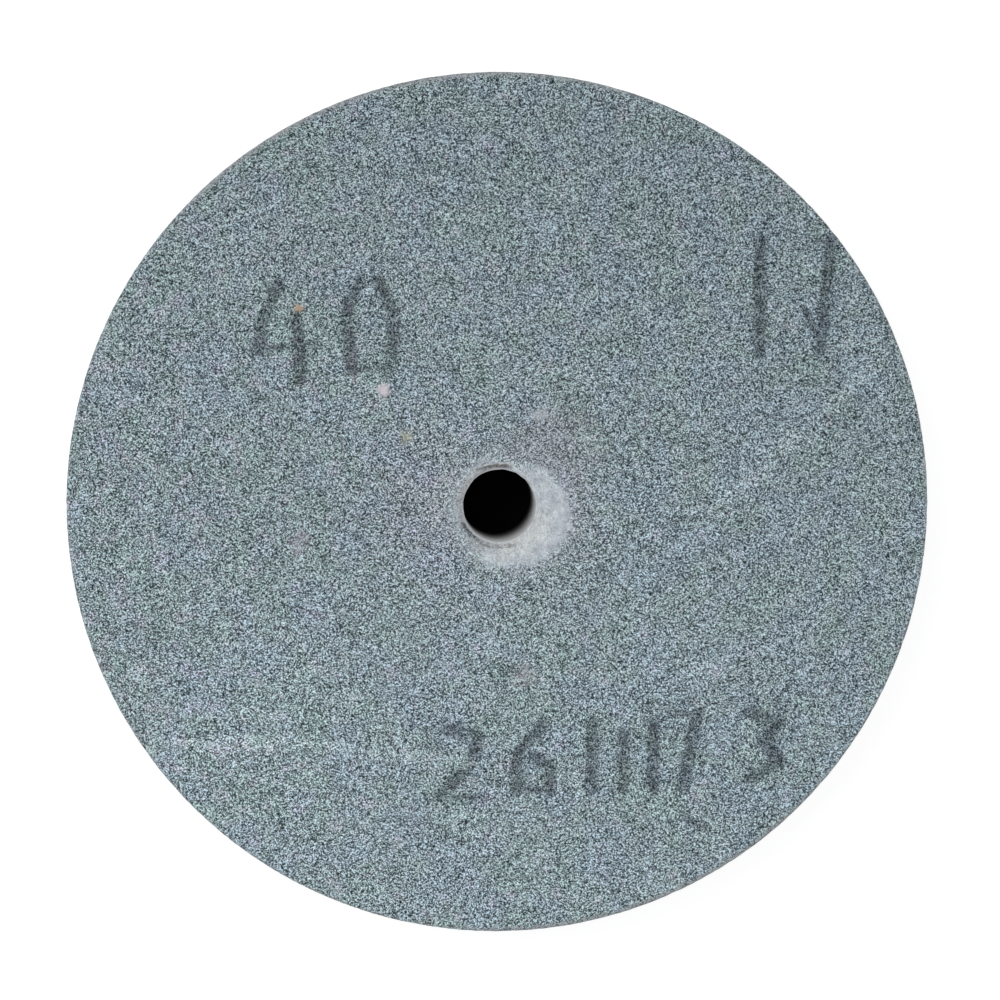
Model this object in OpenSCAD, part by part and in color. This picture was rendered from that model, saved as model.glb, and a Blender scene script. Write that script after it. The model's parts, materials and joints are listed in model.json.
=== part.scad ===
// Straight grinding wheel of green silicon carbide with a bush cast into its hole.
// It lies on its back face. Z runs along the bore, and z = 0 is the back face.

/* [Abrasive wheel] */
// Outside diameter of the wheel
wheel_d = 150; // [100:1:200]
// Thickness of the wheel between its two flat faces
wheel_t = 20; // [12:0.5:32]
// Radius of the worn edge round each face
arris_r = 0.6; // [0.2:0.1:1.5]

/* [Cast bush] */
// Diameter of the bore that takes the spindle
bore_d = 12.7; // [10:0.1:20]
// Wall of the bush between the bore and the stone
bush_wall = 1.65; // [1.2:0.05:4]
// Radius of the rounded lip at the front mouth of the bore
lip_r = 0.8; // [0.2:0.1:1.1]
// Leg of the chamfer at the back mouth of the bore
back_chamfer = 0.5; // [0.2:0.1:1]
// Radius of the bite broken out of the front lip
bite_r = 0.9; // [0.4:0.1:1.1]
// Direction of the bite, seen from the front
bite_angle = 222; // [0:1:359]

/* [Spill of paste on the front face] */
// Depth that the paste fills below the front face
spill_depth = 0.3; // [0.2:0.05:1]
// Least width of the spill outside the bush's wall
spill_margin = 0.7; // [0.5:0.1:3]
// Extra width on the side that the paste was wiped to
spill_reach = 3.4; // [0:0.1:8]
// Direction that the paste was wiped in, seen from the front
spill_angle = -35; // [-180:5:180]
// Height of the waves along the edge of the spill
spill_wave = 0.24; // [0:0.02:0.25]

/* [Hidden] */

stone_colour = [0.50, 0.55, 0.58];
paste_colour = [0.73, 0.75, 0.76];

wheel_r = wheel_d / 2;
bore_r = bore_d / 2;
hole_r = bore_r + bush_wall;

// How far a cutter runs past the face that it opens
past = 1;
// Straight pieces in each rounded corner of a profile
corner_steps = 6;
// Points along the edge of the spill
spill_points = 72;
// How sharply the wide side of the spill stands out
spill_focus = 2.5;
// Share of the five-lobed wave beside the three-lobed one
spill_second_wave = 0.8;
// How deep the bite's centre lies under the front face
bite_sink = 0.1;

$fn = 180;

// Points along an arc round a centre, from one angle to another
function arc(centre, radius, from, to) =
    [for (i = [0:corner_steps])
        let (a = from + (to - from) * i / corner_steps)
        centre + radius * [cos(a), sin(a)]];

// Distance of the spill's edge from the bore's axis in one direction
function spill_radius(a) =
    hole_r + spill_margin
    + spill_reach * pow((1 + cos(a - spill_angle)) / 2, spill_focus)
    + spill_wave * (cos(3 * a) - spill_second_wave * cos(5 * a));

// Half section of the wheel, from the moulded hole out to its two worn edges
module wheel_section() {
    edge_x = wheel_r - arris_r;
    polygon(concat(
        [[hole_r, 0]],
        arc([edge_x, arris_r], arris_r, -90, 0),
        arc([edge_x, wheel_t - arris_r], arris_r, 0, 90),
        [[hole_r, wheel_t]]
    ));
}

// Half section of the bore's clear space: chamfered at the back, flared over the front lip
module bore_section() {
    polygon(concat(
        [[0, -past], [bore_r + back_chamfer, -past], [bore_r + back_chamfer, 0], [bore_r, back_chamfer]],
        arc([bore_r + lip_r, wheel_t - lip_r], lip_r, 180, 90),
        [[bore_r + lip_r, wheel_t + past], [0, wheel_t + past]]
    ));
}

// Layer of paste, or with a taller height the pocket that it lies in
module spill_layer(height) {
    translate([0, 0, wheel_t - spill_depth])
        linear_extrude(height)
            polygon([for (i = [0:spill_points - 1])
                let (a = 360 * i / spill_points)
                spill_radius(a) * [cos(a), sin(a)]]);
}

// Piece broken out of the front lip
module lip_bite() {
    rotate([0, 0, bite_angle])
        translate([bore_r + lip_r / 2, 0, wheel_t - bite_sink])
            sphere(r = bite_r, $fn = 48);
}

module abrasive_wheel() {
    color(stone_colour)
    difference() {
        rotate_extrude() wheel_section();
        spill_layer(spill_depth + past);
    }
}

module cast_bush() {
    color(paste_colour)
    difference() {
        union() {
            cylinder(r = hole_r, h = wheel_t);
            spill_layer(spill_depth);
        }
        rotate_extrude() bore_section();
        lip_bite();
    }
}

abrasive_wheel();
cast_bush();
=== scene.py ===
"""A worn straight grinding wheel of green silicon carbide with a cast bush, lying face up.

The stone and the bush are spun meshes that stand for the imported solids. Their finishes are
worked out from Object coordinates: fired grit, faded ink numbers, scuffs and the smear of
bush paste that was wiped over the front face. Lengths in the classes are in millimetres.
"""

from __future__ import annotations

import json
import logging
import math
import random
from dataclasses import dataclass
from dataclasses import field
from enum import Enum

import bpy
from mathutils import Matrix
from mathutils import Vector
from mathutils import noise

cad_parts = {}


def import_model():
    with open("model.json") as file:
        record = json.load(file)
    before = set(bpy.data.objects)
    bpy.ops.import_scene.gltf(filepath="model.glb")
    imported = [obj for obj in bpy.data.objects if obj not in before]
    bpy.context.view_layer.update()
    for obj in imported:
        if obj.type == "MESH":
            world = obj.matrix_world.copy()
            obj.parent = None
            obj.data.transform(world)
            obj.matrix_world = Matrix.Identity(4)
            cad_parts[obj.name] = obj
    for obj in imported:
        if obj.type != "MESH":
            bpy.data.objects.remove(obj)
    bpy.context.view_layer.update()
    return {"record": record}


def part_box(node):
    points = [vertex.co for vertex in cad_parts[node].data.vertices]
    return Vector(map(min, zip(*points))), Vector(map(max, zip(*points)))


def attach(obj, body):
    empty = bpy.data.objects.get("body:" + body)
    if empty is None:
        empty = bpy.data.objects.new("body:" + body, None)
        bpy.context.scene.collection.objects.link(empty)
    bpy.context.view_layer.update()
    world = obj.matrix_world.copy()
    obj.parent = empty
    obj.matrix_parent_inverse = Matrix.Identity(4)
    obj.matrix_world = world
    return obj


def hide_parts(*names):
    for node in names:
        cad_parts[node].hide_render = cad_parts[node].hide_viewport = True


MM = 0.001
FULL_TURN = 2 * math.pi
MERGE_LIMIT = 1e-7
SEAM_LIMIT = 1e-6
SMOOTH_LIMIT = math.radians(35)

MIX_SHARE = 0
MIX_NUMBERS = (2, 3)
MIX_COLOURS = (6, 7)
MIXED_COLOUR = 2

DISPLAY_TOP = 255
DISPLAY_KNEE = 0.04045
DISPLAY_SLOPE = 12.92
DISPLAY_LIFT = 0.055
DISPLAY_POWER = 2.4

Colour = tuple[float, float, float]
Point = tuple[float, float]
Span = tuple[float, float]
Wave = tuple[float, float]

log = logging.getLogger("grinding_wheel")


class Blend(Enum):
    """Ways in which one colour goes over another."""

    COVER = "MIX"
    TINT = "MULTIPLY"


class End(Enum):
    """The two ends of the bore, by the name of the flat face round each."""

    FRONT = "front"
    BACK = "back"


def paint(red: int, green: int, blue: int) -> Colour:
    """Turns a display colour into the linear colour that a shader takes.

    Args:
        red: Red from 0 to 255.
        green: Green from 0 to 255.
        blue: Blue from 0 to 255.

    Returns:
        The linear red, green and blue.
    """
    shown = (part / DISPLAY_TOP for part in (red, green, blue))
    return tuple(
        part / DISPLAY_SLOPE
        if part <= DISPLAY_KNEE
        else ((part + DISPLAY_LIFT) / (1 + DISPLAY_LIFT)) ** DISPLAY_POWER
        for part in shown
    )


def eased(value: float, low: float, high: float) -> float:
    """Goes smoothly from 0 at low to 1 at high.

    Args:
        value: The number to place between the two limits.
        low: Limit that gives 0.
        high: Limit that gives 1.

    Returns:
        The eased share.
    """
    share = min(1.0, max(0.0, (value - low) / (high - low)))
    return share * share * (3 - 2 * share)


def between(start: Point, end: Point) -> Point:
    """Step that leads from one point to another."""
    return (end[0] - start[0], end[1] - start[1])


def unevenness(point: Vector, waves: tuple[Wave, ...]) -> float:
    """Adds up smooth waves at a point.

    Args:
        point: The point in millimetres.
        waves: Length and height of each wave.

    Returns:
        The sum, which is about 0 on average.
    """
    return sum(noise.noise(point / length) * height for length, height in waves)


class Flow:
    """A number that varies over a surface, held as an output socket of a node tree."""

    def __init__(self, table: NodeTable, socket: bpy.types.NodeSocket) -> None:
        """Keeps the socket and the table that adds nodes for it."""
        self.table = table
        self.socket = socket

    def _maths(self, operation: str, *terms: Flow | float) -> Flow:
        """Adds one Math node on the given terms."""
        made = self.table.node("ShaderNodeMath", {"operation": operation}, dict(enumerate(terms)))
        return Flow(self.table, made.outputs[0])

    def __add__(self, other: Flow | float) -> Flow:
        """Sum."""
        return self._maths("ADD", self, other)

    __radd__ = __add__

    def __sub__(self, other: Flow | float) -> Flow:
        """Difference."""
        return self._maths("SUBTRACT", self, other)

    def __rsub__(self, other: float) -> Flow:
        """Difference from a number."""
        return self._maths("SUBTRACT", other, self)

    def __mul__(self, other: Flow | float) -> Flow:
        """Product."""
        return self._maths("MULTIPLY", self, other)

    __rmul__ = __mul__

    def __pow__(self, other: Flow | float) -> Flow:
        """Power."""
        return self._maths("POWER", self, other)

    def __abs__(self) -> Flow:
        """Size without its sign."""
        return self._maths("ABSOLUTE", self)

    def cosine(self) -> Flow:
        """Cosine of an angle in radians."""
        return self._maths("COSINE", self)

    def least(self, other: Flow | float) -> Flow:
        """The smaller of the two."""
        return self._maths("MINIMUM", self, other)

    def most(self, other: Flow | float) -> Flow:
        """The larger of the two."""
        return self._maths("MAXIMUM", self, other)

    def angle_to(self, across: Flow) -> Flow:
        """Angle of the point whose height is this value and whose width is across."""
        return self._maths("ARCTAN2", self, across)

    def centred(self) -> Flow:
        """How far a value from 0 to 1 lies from its middle."""
        return self - 0.5

    def eased(self, low: float, high: float) -> Flow:
        """Goes smoothly from 0 at low to 1 at high, which may be the smaller limit.

        Args:
            low: Value that gives 0.
            high: Value that gives 1.

        Returns:
            The eased share.
        """
        made = self.table.node(
            "ShaderNodeMapRange",
            {"interpolation_type": "SMOOTHSTEP"},
            {"Value": self, "From Min": low, "From Max": high},
        )
        return Flow(self.table, made.outputs["Result"])


class NodeTable:
    """A node tree of a material or of the world, whose nodes all come from one method."""

    def __init__(self, tree: bpy.types.NodeTree) -> None:
        """Clears the tree and keeps it."""
        self.tree = tree
        self.tree.nodes.clear()

    def node(self, kind: str, settings: dict, inputs: dict) -> bpy.types.Node:
        """Adds one node.

        Args:
            kind: Blender's name of the node type.
            settings: Properties to set first; "stops" holds a ramp's positions and colours.
            inputs: Value, Flow or output socket for each input, by its name or number.

        Returns:
            The new node.
        """
        made = self.tree.nodes.new(kind)
        for name, value in settings.items():
            if name == "stops":
                self._set_stops(made.color_ramp, value)
            else:
                setattr(made, name, value)
        for name, value in inputs.items():
            if isinstance(value, Flow):
                self.tree.links.new(value.socket, made.inputs[name])
            elif isinstance(value, bpy.types.NodeSocket):
                self.tree.links.new(value, made.inputs[name])
            else:
                made.inputs[name].default_value = value
        return made

    @staticmethod
    def _set_stops(ramp: bpy.types.ColorRamp, stops: tuple[tuple[float, Colour], ...]) -> None:
        """Gives a colour ramp its stops, two of which it already has.

        Args:
            ramp: The ramp.
            stops: Position and colour of each stop, in order.
        """
        while len(ramp.elements) < len(stops):
            ramp.elements.new(1.0)
        for element, (position, colour) in zip(ramp.elements, stops):
            element.position = position
            element.color = (*colour, 1.0)


@dataclass(frozen=True)
class Cloud:
    """Settings of one soft, cloudy noise.

    Attributes:
        per_mm: Clouds in one millimetre.
        detail: Finer octaves on top of the first.
        shift: Distance that moves the pattern, so that two noises differ.
        squash: Factors along x, y and z that stretch the pattern.
    """

    per_mm: float
    detail: float = 2.0
    shift: float = 0.0
    squash: tuple[float, float, float] = (1.0, 1.0, 1.0)


DRIFT = Cloud(1.3)
CLUMPS = Cloud(0.3, shift=7.0)
PATCHES = Cloud(0.16, shift=21.0)
FRAYED = Cloud(0.8, shift=31.0)
BLOOM = Cloud(0.6, shift=3.0)
FINE = Cloud(3.4, detail=1.0, shift=11.0)
BRUSHED = Cloud(1.5, detail=1.0, shift=43.0, squash=(1.5, 0.55, 1.0))
DRESSED = Cloud(1.0, detail=1.0, shift=71.0, squash=(0.12, 0.12, 2.4))


class Bench(NodeTable):
    """The node tree of one material, with the surface's own coordinates in millimetres."""

    def __init__(self, name: str) -> None:
        """Starts an empty material and measures the point being shaded.

        Args:
            name: Name of the material.
        """
        self.material = bpy.data.materials.new(name)
        self.material.use_nodes = True
        super().__init__(self.material.node_tree)
        coordinates = self.node("ShaderNodeTexCoord", {}, {})
        self.place = self.scaled(coordinates.outputs["Object"], 1 / MM)
        self.flat = self.vector_maths("MULTIPLY", self.place, (1.0, 1.0, 0.0)).outputs["Vector"]
        self.patterns: dict[Cloud | float, Flow] = {}
        parts = self.node("ShaderNodeSeparateXYZ", {}, {"Vector": self.place})
        self.x, self.y, self.z = (Flow(self, parts.outputs[axis]) for axis in "XYZ")
        self.reach = (self.x * self.x + self.y * self.y) ** 0.5
        self.turn = self.y.angle_to(self.x)

    def noise(self, cloud: Cloud) -> Flow:
        """Soft cloudy noise; the same noise is made only once.

        Args:
            cloud: Its settings.

        Returns:
            The noise value from 0 to 1, with 0.5 as its middle.
        """
        if cloud not in self.patterns:
            moved = self.vector_maths("MULTIPLY_ADD", self.place, cloud.squash, (cloud.shift,) * 3)
            made = self.node(
                "ShaderNodeTexNoise",
                {},
                {"Vector": moved.outputs["Vector"], "Scale": cloud.per_mm, "Detail": cloud.detail},
            )
            self.patterns[cloud] = Flow(self, made.outputs[0])
        return self.patterns[cloud]

    def grains(self, per_mm: float) -> Flow:
        """Random grains that fill space; the same grains are made only once.

        Args:
            per_mm: Grains in one millimetre.

        Returns:
            A random value from 0 to 1 for each grain.
        """
        if per_mm not in self.patterns:
            made = self.node(
                "ShaderNodeTexVoronoi",
                {"feature": "F1"},
                {"Vector": self.place, "Scale": per_mm},
            )
            split = self.node("ShaderNodeSeparateColor", {}, {"Color": made.outputs["Color"]})
            self.patterns[per_mm] = Flow(self, split.outputs[0])
        return self.patterns[per_mm]

    def away_from(self, centre: Point) -> Flow:
        """Distance of the shaded point from a point of the face, seen along the bore."""
        made = self.vector_maths("DISTANCE", self.flat, (*centre, 0.0))
        return Flow(self, made.outputs["Value"])

    def vector_maths(self, operation: str, *terms: bpy.types.NodeSocket | tuple) -> bpy.types.Node:
        """Adds one Vector Math node on the given terms."""
        return self.node("ShaderNodeVectorMath", {"operation": operation}, dict(enumerate(terms)))

    def scaled(
        self, vector: bpy.types.NodeSocket | tuple, factor: Flow | bpy.types.NodeSocket | float
    ) -> bpy.types.NodeSocket:
        """Makes a vector or a colour larger or smaller.

        Args:
            vector: The vector or colour.
            factor: What it is multiplied by.

        Returns:
            The scaled vector or colour.
        """
        inputs = {"Vector": vector, "Scale": factor}
        return self.node("ShaderNodeVectorMath", {"operation": "SCALE"}, inputs).outputs["Vector"]

    def ramp(self, share: Flow, stops: tuple[tuple[float, Colour], ...]) -> bpy.types.NodeSocket:
        """Colour that follows a value through the given stops."""
        made = self.node("ShaderNodeValToRGB", {"stops": stops}, {"Fac": share})
        return made.outputs["Color"]

    def layer(
        self,
        under: bpy.types.NodeSocket,
        over: bpy.types.NodeSocket | Colour,
        share: Flow | float,
        blend: Blend = Blend.COVER,
    ) -> bpy.types.NodeSocket:
        """Lays one colour over another.

        Args:
            under: The colour below.
            over: The colour on top.
            share: How much of the top colour shows, from 0 to 1.
            blend: Whether it covers or tints what is below.

        Returns:
            The mixed colour.
        """
        top = over if isinstance(over, bpy.types.NodeSocket) else (*over, 1.0)
        settings = {"data_type": "RGBA", "blend_type": blend.value}
        inputs = {MIX_SHARE: share, **dict(zip(MIX_COLOURS, (under, top)))}
        return self.node("ShaderNodeMix", settings, inputs).outputs[MIXED_COLOUR]

    def mixed(self, under: Flow | float, over: Flow | float, share: Flow) -> Flow:
        """Number that goes from one value to another."""
        inputs = {MIX_SHARE: share, **dict(zip(MIX_NUMBERS, (under, over)))}
        return Flow(self, self.node("ShaderNodeMix", {"data_type": "FLOAT"}, inputs).outputs[0])


@dataclass(frozen=True)
class Sector:
    """A sector round the bore, as seen on the marked face.

    Attributes:
        middle: Its middle direction in degrees.
        half: Half its angle in degrees.
        soft: Angle over which each of its sides fades out, in degrees.
    """

    middle: float
    half: float
    soft: float

    def share(self, bench: Bench) -> Flow:
        """Tells whether the shaded point lies in the sector.

        Args:
            bench: The bench.

        Returns:
            1 inside the sector and 0 outside it.
        """
        outer = math.cos(math.radians(self.half + self.soft / 2))
        inner = math.cos(math.radians(self.half - self.soft / 2))
        return (bench.turn - math.radians(self.middle)).cosine().eased(outer, inner)


@dataclass
class Skin:
    """What a finish says of each point of a surface.

    Attributes:
        colour: Base colour.
        relief: Height of the fine relief in millimetres.
        roughness: Roughness from 0 to 1.
    """

    colour: bpy.types.NodeSocket
    relief: Flow
    roughness: Flow

    def recoloured(self, colour: bpy.types.NodeSocket) -> Skin:
        """The same skin in another colour."""
        return Skin(colour, self.relief, self.roughness)

    def finish(self, bench: Bench, specular: float) -> bpy.types.Material:
        """Ends the material in a shader.

        Args:
            bench: The bench that the skin was made on.
            specular: Specular level, the same all over.

        Returns:
            The finished material.
        """
        bump = bench.node(
            "ShaderNodeBump",
            {},
            {"Strength": 1.0, "Distance": MM, "Height": self.relief},
        )
        shader = bench.node(
            "ShaderNodeBsdfPrincipled",
            {},
            {
                "Base Color": self.colour,
                "Roughness": self.roughness,
                "Specular IOR Level": specular,
                "Normal": bump.outputs["Normal"],
            },
        )
        bench.node("ShaderNodeOutputMaterial", {}, {"Surface": shader.outputs["BSDF"]})
        return bench.material


@dataclass(frozen=True)
class SpillOutline:
    """Edge of the bush paste that was wiped over the front face, wide on one side.

    Attributes:
        least: Least distance of the edge from the bore's axis, before its waves.
        extra: How much further it reaches on the side it was wiped to.
        angle: Direction it was wiped in, in degrees.
        focus: How sharply the wide side stands out.
        wave: Height of the waves along the edge.
        lobes: Numbers of waves round the bore, of the first and the second kind.
        second_wave: Height of the second kind beside the first.
    """

    least: float
    extra: float = 3.4
    angle: float = -35.0
    focus: float = 2.5
    wave: float = 0.24
    lobes: tuple[int, int] = (3, 5)
    second_wave: float = 0.8

    @property
    def middle(self) -> float:
        """Distance at which the edge is drawn before it is pulled to its real outline."""
        return self.least + self.extra / 3

    def at(self, turn: float) -> float:
        """Distance of the edge from the bore's axis.

        Args:
            turn: Direction in radians.

        Returns:
            The distance in millimetres.
        """
        lean = (1 + math.cos(turn - math.radians(self.angle))) / 2
        first, second = (math.cos(lobes * turn) for lobes in self.lobes)
        waves = first - self.second_wave * second
        return self.least + self.extra * lean**self.focus + self.wave * waves

    def lean(self, bench: Bench) -> Flow:
        """How far the shaded point lies on the wide side, from 0 to 1."""
        return ((bench.turn - math.radians(self.angle)).cosine() + 1) * 0.5

    def across(self, bench: Bench) -> Flow:
        """Distance of the shaded point outside the edge.

        Args:
            bench: The bench.

        Returns:
            The distance in millimetres, negative on the paste.
        """
        first, second = ((bench.turn * lobes).cosine() for lobes in self.lobes)
        waves = first - second * self.second_wave
        edge = self.lean(bench) ** self.focus * self.extra + waves * self.wave + self.least
        return bench.reach - edge


@dataclass(frozen=True)
class Stroke:
    """One straight stroke of a pen or of a scuff.

    Attributes:
        start: One end.
        end: The other end.
        faint: Distance by which a faint stroke falls short of a bold one's width.
    """

    start: Point
    end: Point
    faint: float = 0.0

    def distance(self, bench: Bench) -> Flow:
        """Distance of the shaded point from the stroke, seen along the bore.

        Args:
            bench: The bench.

        Returns:
            The distance in millimetres, more by the stroke's faintness.
        """
        run = between(self.start, self.end)
        square = run[0] ** 2 + run[1] ** 2
        local = bench.vector_maths("SUBTRACT", bench.flat, (*self.start, 0.0)).outputs["Vector"]
        along = bench.vector_maths("DOT_PRODUCT", local, (run[0] / square, run[1] / square, 0.0))
        held = bench.node("ShaderNodeClamp", {}, {"Value": along.outputs["Value"]})
        nearest = bench.scaled((*run, 0.0), held.outputs[0])
        gap = bench.vector_maths("DISTANCE", local, nearest)
        away = Flow(bench, gap.outputs["Value"])
        return away + self.faint if self.faint else away


def nearest_stroke(bench: Bench, strokes: tuple[Stroke, ...]) -> Flow:
    """Distance of the shaded point from the nearest of some strokes.

    Args:
        bench: The bench.
        strokes: The strokes.

    Returns:
        The distance in millimetres.
    """
    away = strokes[0].distance(bench)
    for stroke in strokes[1:]:
        away = away.least(stroke.distance(bench))
    return away


@dataclass(frozen=True)
class Figure:
    """Shape of one figure, as lines through a box that is 1 wide and 1 high.

    Attributes:
        bold: Lines that the pen pressed hard.
        faint: Lines that have nearly worn off.
    """

    bold: tuple[tuple[Point, ...], ...]
    faint: tuple[tuple[Point, ...], ...] = ()


FIGURES = {
    "0": Figure(
        bold=(((0.32, 1.0), (0.1, 0.66), (0.2, 0.04)), ((0.68, 1.0), (0.92, 0.6), (0.86, 0.08))),
        faint=(((0.2, 0.04), (0.86, 0.08)),),
    ),
    "1": Figure(bold=(((0.5, 1.0), (0.5, 0.0)),)),
    "2": Figure(
        bold=(((0.2, 0.92), (0.85, 0.86), (0.75, 0.52), (0.1, 0.05)),),
        faint=(((0.1, 0.05), (0.95, 0.03)),),
    ),
    "3": Figure(
        bold=(((0.3, 1.0), (0.86, 0.84), (0.55, 0.55)), ((0.55, 0.55), (0.92, 0.26), (0.3, 0.0))),
    ),
    "4": Figure(
        bold=(((0.38, 1.0), (0.12, 0.62), (0.04, 0.3)), ((0.68, 0.66), (0.74, 0.0))),
        faint=(((0.04, 0.34), (1.0, 0.36)),),
    ),
    "6": Figure(
        bold=(((0.72, 1.0), (0.18, 0.6), (0.14, 0.1)), ((0.5, 0.56), (0.86, 0.4), (0.84, 0.08))),
        faint=(((0.14, 0.1), (0.84, 0.08)),),
    ),
    "7": Figure(bold=(((0.9, 1.0), (0.4, 0.0)),), faint=(((0.0, 0.98), (0.9, 1.0)),)),
}


@dataclass(frozen=True)
class InkedFigure:
    """One figure of a plain number on the face.

    Attributes:
        shape: The figure.
        middle: Middle of its box.
        width: Width of its box.
        height: Height of its box.
    """

    shape: str
    middle: Point
    width: float
    height: float

    FAINTNESS = 0.6

    def strokes(self) -> list[Stroke]:
        """Draws the figure on the face.

        Returns:
            Its strokes, the faint ones with their faintness.
        """
        figure = FIGURES[self.shape]
        lines = [(line, 0.0) for line in figure.bold]
        lines += [(line, self.FAINTNESS) for line in figure.faint]
        return [
            Stroke(self._spot(start), self._spot(end), faint)
            for line, faint in lines
            for start, end in zip(line, line[1:])
        ]

    def _spot(self, share: Point) -> Point:
        """Finds the place on the face of a point of the box.

        Args:
            share: The point, as shares of the box's width and height.

        Returns:
            The place in millimetres.
        """
        return (
            self.middle[0] + (share[0] - 0.5) * self.width,
            self.middle[1] + (share[1] - 0.5) * self.height,
        )


@dataclass(frozen=True)
class Spot:
    """A round mark on the front face: a stain, a fleck, or a broad change of brightness.

    Attributes:
        centre: Its middle.
        radius: Distance at which it has faded away.
        colour: Colour that it adds.
        share: How much of that colour shows in its middle.
        blend: Whether it covers or tints the stone.
    """

    centre: Point
    radius: float
    colour: Colour
    share: float
    blend: Blend = Blend.COVER

    FRAYING = 1.6

    def lay(self, bench: Bench, under: bpy.types.NodeSocket, ragged: Flow) -> bpy.types.NodeSocket:
        """Lays the spot over a colour.

        Args:
            bench: The bench.
            under: The colour below.
            ragged: Noise that frays the spot's edge.

        Returns:
            The colour with the spot on it.
        """
        away = bench.away_from(self.centre) + ragged.centred() * (self.radius * self.FRAYING)
        cover = away.eased(self.radius, 0.0) * self.share
        return bench.layer(under, self.colour, cover, self.blend)


@dataclass(frozen=True)
class FiredGrit:
    """Open, vitrified silicon carbide grain: pale and dark grits with pores between them.

    Attributes:
        grains_per_mm: Grains in one millimetre.
        chips_per_mm: Finer chips of grain in one millimetre.
        specks_per_mm: Coarse grains in one millimetre, few of which are pores or bright specks.
        grain_share: How much a grain changes the tone.
        chip_share: How much a chip changes it.
        drift_share: How much the slow drift changes it.
        clump_share: How much the clumps change it.
        speck_share: How much a pore or a bright speck changes it.
        bright: Random values from which a coarse grain is a bright speck.
        porous: Random values below which it is a pore.
        contrast: Spread of the tones.
        tones: Colours from the darkest grain to the palest.
        greenish: Tint of the greenish patches.
        bluish: Tint of the bluish patches.
        purplish: Tint of the purplish clumps.
        green_patches: Noise values over which the greenish tint comes in.
        blue_patches: Noise values over which the bluish tint comes in.
        purple_clumps: Noise values over which the purplish tint comes in.
        bluer_right: How much the patches lean to blue per millimetre to the right.
        purpler_left: How much the clumps lean to purple per millimetre to the left.
        dust_and_painted_light: Brightness in the middle of the face, before the painted light
            gradient.
        painted_light_right: Painted light: change of brightness per millimetre to the right.
        painted_light_up: Painted light: change of brightness per millimetre upwards, so the face
            is darker towards the top.
        painted_light_out: Painted light: change of brightness per millimetre away from the bore.
        dust_patches: Spread of brightness between the patches.
        grain_height: Height of the proud grains.
        grain_relief: Share of the grains in the relief, beside that of the chips.
        roughness: Roughness of most grains.
        glint_roughness: Roughness of the few that sparkle.
        glints: Random values from which a grain sparkles.
    """

    grains_per_mm: float = 6.2
    chips_per_mm: float = 11.5
    specks_per_mm: float = 4.2
    grain_share: float = 0.7
    chip_share: float = 0.42
    drift_share: float = 0.13
    clump_share: float = 0.11
    speck_share: float = 0.18
    bright: Span = (0.88, 0.95)
    porous: Span = (0.13, 0.06)
    contrast: float = 2.35
    tones: tuple[tuple[float, Colour], ...] = (
        (0.0, paint(1, 14, 20)),
        (0.25, paint(72, 91, 97)),
        (0.5, paint(107, 126, 132)),
        (0.75, paint(142, 161, 167)),
        (1.0, paint(222, 242, 249)),
    )
    greenish: Colour = (0.98, 1.02, 0.975)
    bluish: Colour = (0.97, 0.985, 1.042)
    purplish: Colour = (1.09, 0.965, 1.02)
    green_patches: Span = (0.55, 0.35)
    blue_patches: Span = (0.46, 0.64)
    purple_clumps: Span = (0.56, 0.72)
    bluer_right: float = 0.0003
    purpler_left: float = 0.0008
    dust_and_painted_light: float = 0.988
    painted_light_right: float = -0.00025
    painted_light_up: float = -0.0016
    painted_light_out: float = -0.00045
    dust_patches: float = 0.12
    grain_height: float = 0.07
    grain_relief: float = 0.7
    roughness: float = 0.82
    glint_roughness: float = 0.42
    glints: Span = (0.9, 0.97)

    def skin(self, bench: Bench) -> Skin:
        """Mixes the grit's skin.

        Args:
            bench: The bench.

        Returns:
            The skin of clean stone.
        """
        grain = bench.grains(self.grains_per_mm)
        chip = bench.grains(self.chips_per_mm)
        colour = self._tinted(bench, bench.ramp(self._tone(bench), self.tones))
        relief = grain.centred() * self.grain_relief + chip.centred() * (1 - self.grain_relief)
        roughness = bench.mixed(self.roughness, self.glint_roughness, grain.eased(*self.glints))
        return Skin(colour, relief * self.grain_height, roughness)

    def _tone(self, bench: Bench) -> Flow:
        """Works out how dark or pale each grain is.

        Args:
            bench: The bench.

        Returns:
            The tone from 0 to 1.
        """
        speck = bench.grains(self.specks_per_mm)
        tone = bench.grains(self.grains_per_mm).centred() * self.grain_share
        tone = tone + bench.grains(self.chips_per_mm).centred() * self.chip_share
        tone = tone + bench.noise(DRIFT).centred() * self.drift_share
        tone = tone + bench.noise(CLUMPS).centred() * self.clump_share
        tone = tone + (speck.eased(*self.bright) - speck.eased(*self.porous)) * self.speck_share
        return tone * self.contrast + 0.5

    def _tinted(self, bench: Bench, colour: bpy.types.NodeSocket) -> bpy.types.NodeSocket:
        """Lays the slow changes of tint and brightness over the grains; the brightness gradient is
        painted light.

        Args:
            bench: The bench.
            colour: Colour of the grains.

        Returns:
            The tinted colour.
        """
        patch = bench.noise(PATCHES)
        leaning = patch + bench.x * self.bluer_right
        purpled = (bench.noise(CLUMPS) - bench.x * self.purpler_left).eased(*self.purple_clumps)
        colour = bench.layer(colour, self.greenish, leaning.eased(*self.green_patches), Blend.TINT)
        colour = bench.layer(colour, self.bluish, leaning.eased(*self.blue_patches), Blend.TINT)
        colour = bench.layer(colour, self.purplish, purpled, Blend.TINT)
        # Painted light: the face is made brighter towards the bottom and the left, and darker away
        # from the bore.
        dust_and_painted_light = bench.x * self.painted_light_right + bench.y * self.painted_light_up + bench.reach * self.painted_light_out
        dust_and_painted_light = dust_and_painted_light + self.dust_and_painted_light + patch.centred() * self.dust_patches
        return bench.scaled(colour, dust_and_painted_light)


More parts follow.
